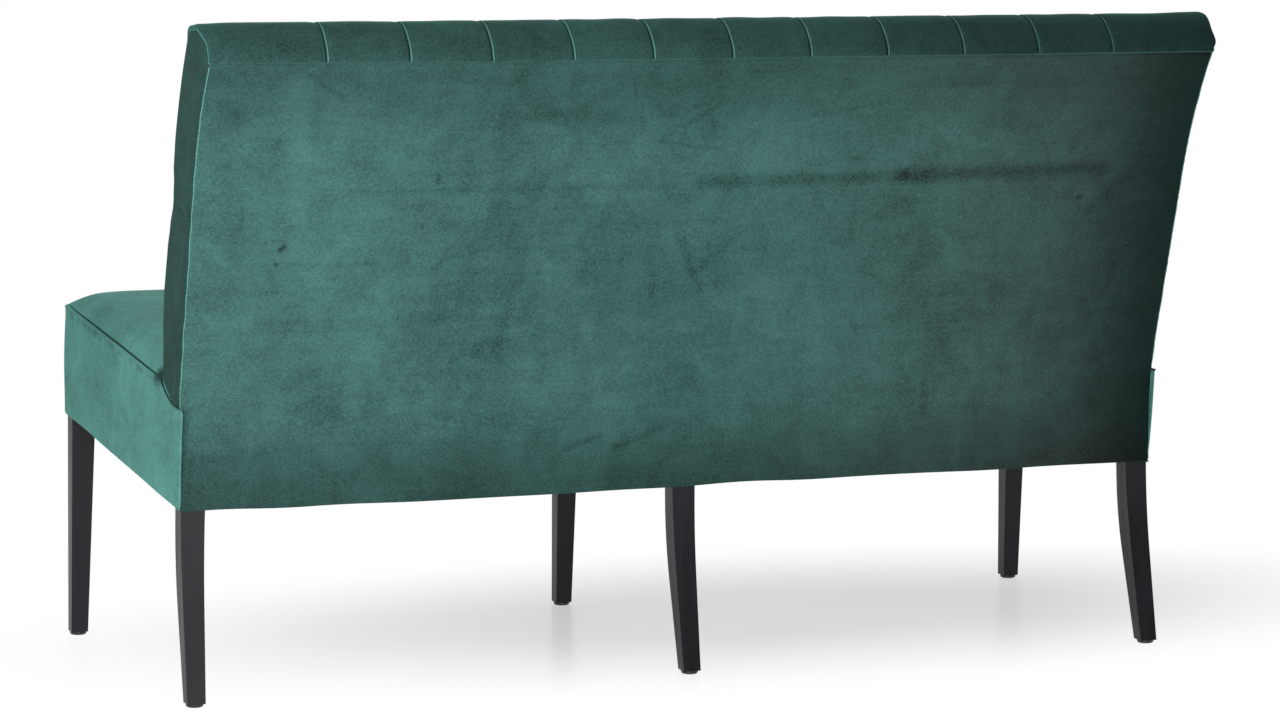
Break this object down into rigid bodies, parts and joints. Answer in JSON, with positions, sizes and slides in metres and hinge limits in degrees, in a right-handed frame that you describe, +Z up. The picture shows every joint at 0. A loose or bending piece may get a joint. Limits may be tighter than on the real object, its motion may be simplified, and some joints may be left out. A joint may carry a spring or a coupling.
{
  "type": "upholstered dining bench",
  "caption": "Long upholstered dining bench with a reclined deep-buttoned back that rolls over at the top, a crowned sloping seat and dark sabre legs.",
  "frame": {"origin": "on the floor, under the middle of the bench's bounding box", "axes": "+X along the bench to the sitter's left, +Y to the rear, +Z up"},
  "size_m": [1.5906, 0.7416, 0.9628],
  "materials": {
    "velvet": "short cut-pile velvet, dull teal green",
    "dark_wood": "beech stained almost black, satin",
    "beech": "sawn, unfinished",
    "dowel_wood": "fluted, unfinished",
    "board": "bent plywood, unfinished",
    "screw_steel": "zinc plated",
    "nail_steel": "bright",
    "foam": "open-cell upholstery foam",
    "twine": "waxed linen",
    "lining": "thin white wadding",
    "card": "pressed card strip",
    "webbing": "woven elastic",
    "dust_cover": "spun-bonded black cloth",
    "glide_plastic": "moulded, slightly glossy edge"
  },
  "bodies": {
    "root": {"front_leg_left": "dark_wood", "front_leg_middle": "dark_wood", "front_leg_right": "dark_wood", "rear_leg_left": "dark_wood", "rear_leg_middle": "dark_wood", "rear_leg_right": "dark_wood", "front_rail_left": "beech", "front_rail_right": "beech", "rear_rail_left": "beech", "rear_rail_right": "beech", "end_rail_left": "beech", "end_rail_right": "beech", "middle_cross_rail": "beech", "back_lower_rail_left": "beech", "back_lower_rail_right": "beech", "back_top_rail": "beech", "frame_dowels": "dowel_wood", "corner_blocks": "beech", "corner_block_screws": "screw_steel", "top_rail_screws": "screw_steel", "glide_nails": "nail_steel", "back_board": "board", "back_foam": "foam", "back_tufted_cover": "velvet", "buttons_upper_row": "velvet", "buttons_middle_row": "velvet", "buttons_lower_row": "velvet", "button_twines": "twine", "back_side_cover_left": "velvet", "back_side_cover_right": "velvet", "outside_back_cover": "velvet", "outside_back_lining": "lining", "back_tack_strip": "card", "seat_webbing_cross": "webbing", "seat_webbing_long": "webbing", "seat_foam": "foam", "seat_top_cover": "velvet", "seat_border_cover": "velvet", "underside_cover": "dust_cover", "glide_front_left": "glide_plastic", "glide_front_middle": "glide_plastic", "glide_front_right": "glide_plastic", "glide_rear_left": "glide_plastic", "glide_rear_middle": "glide_plastic", "glide_rear_right": "glide_plastic"}
  },
  "joints": []
}
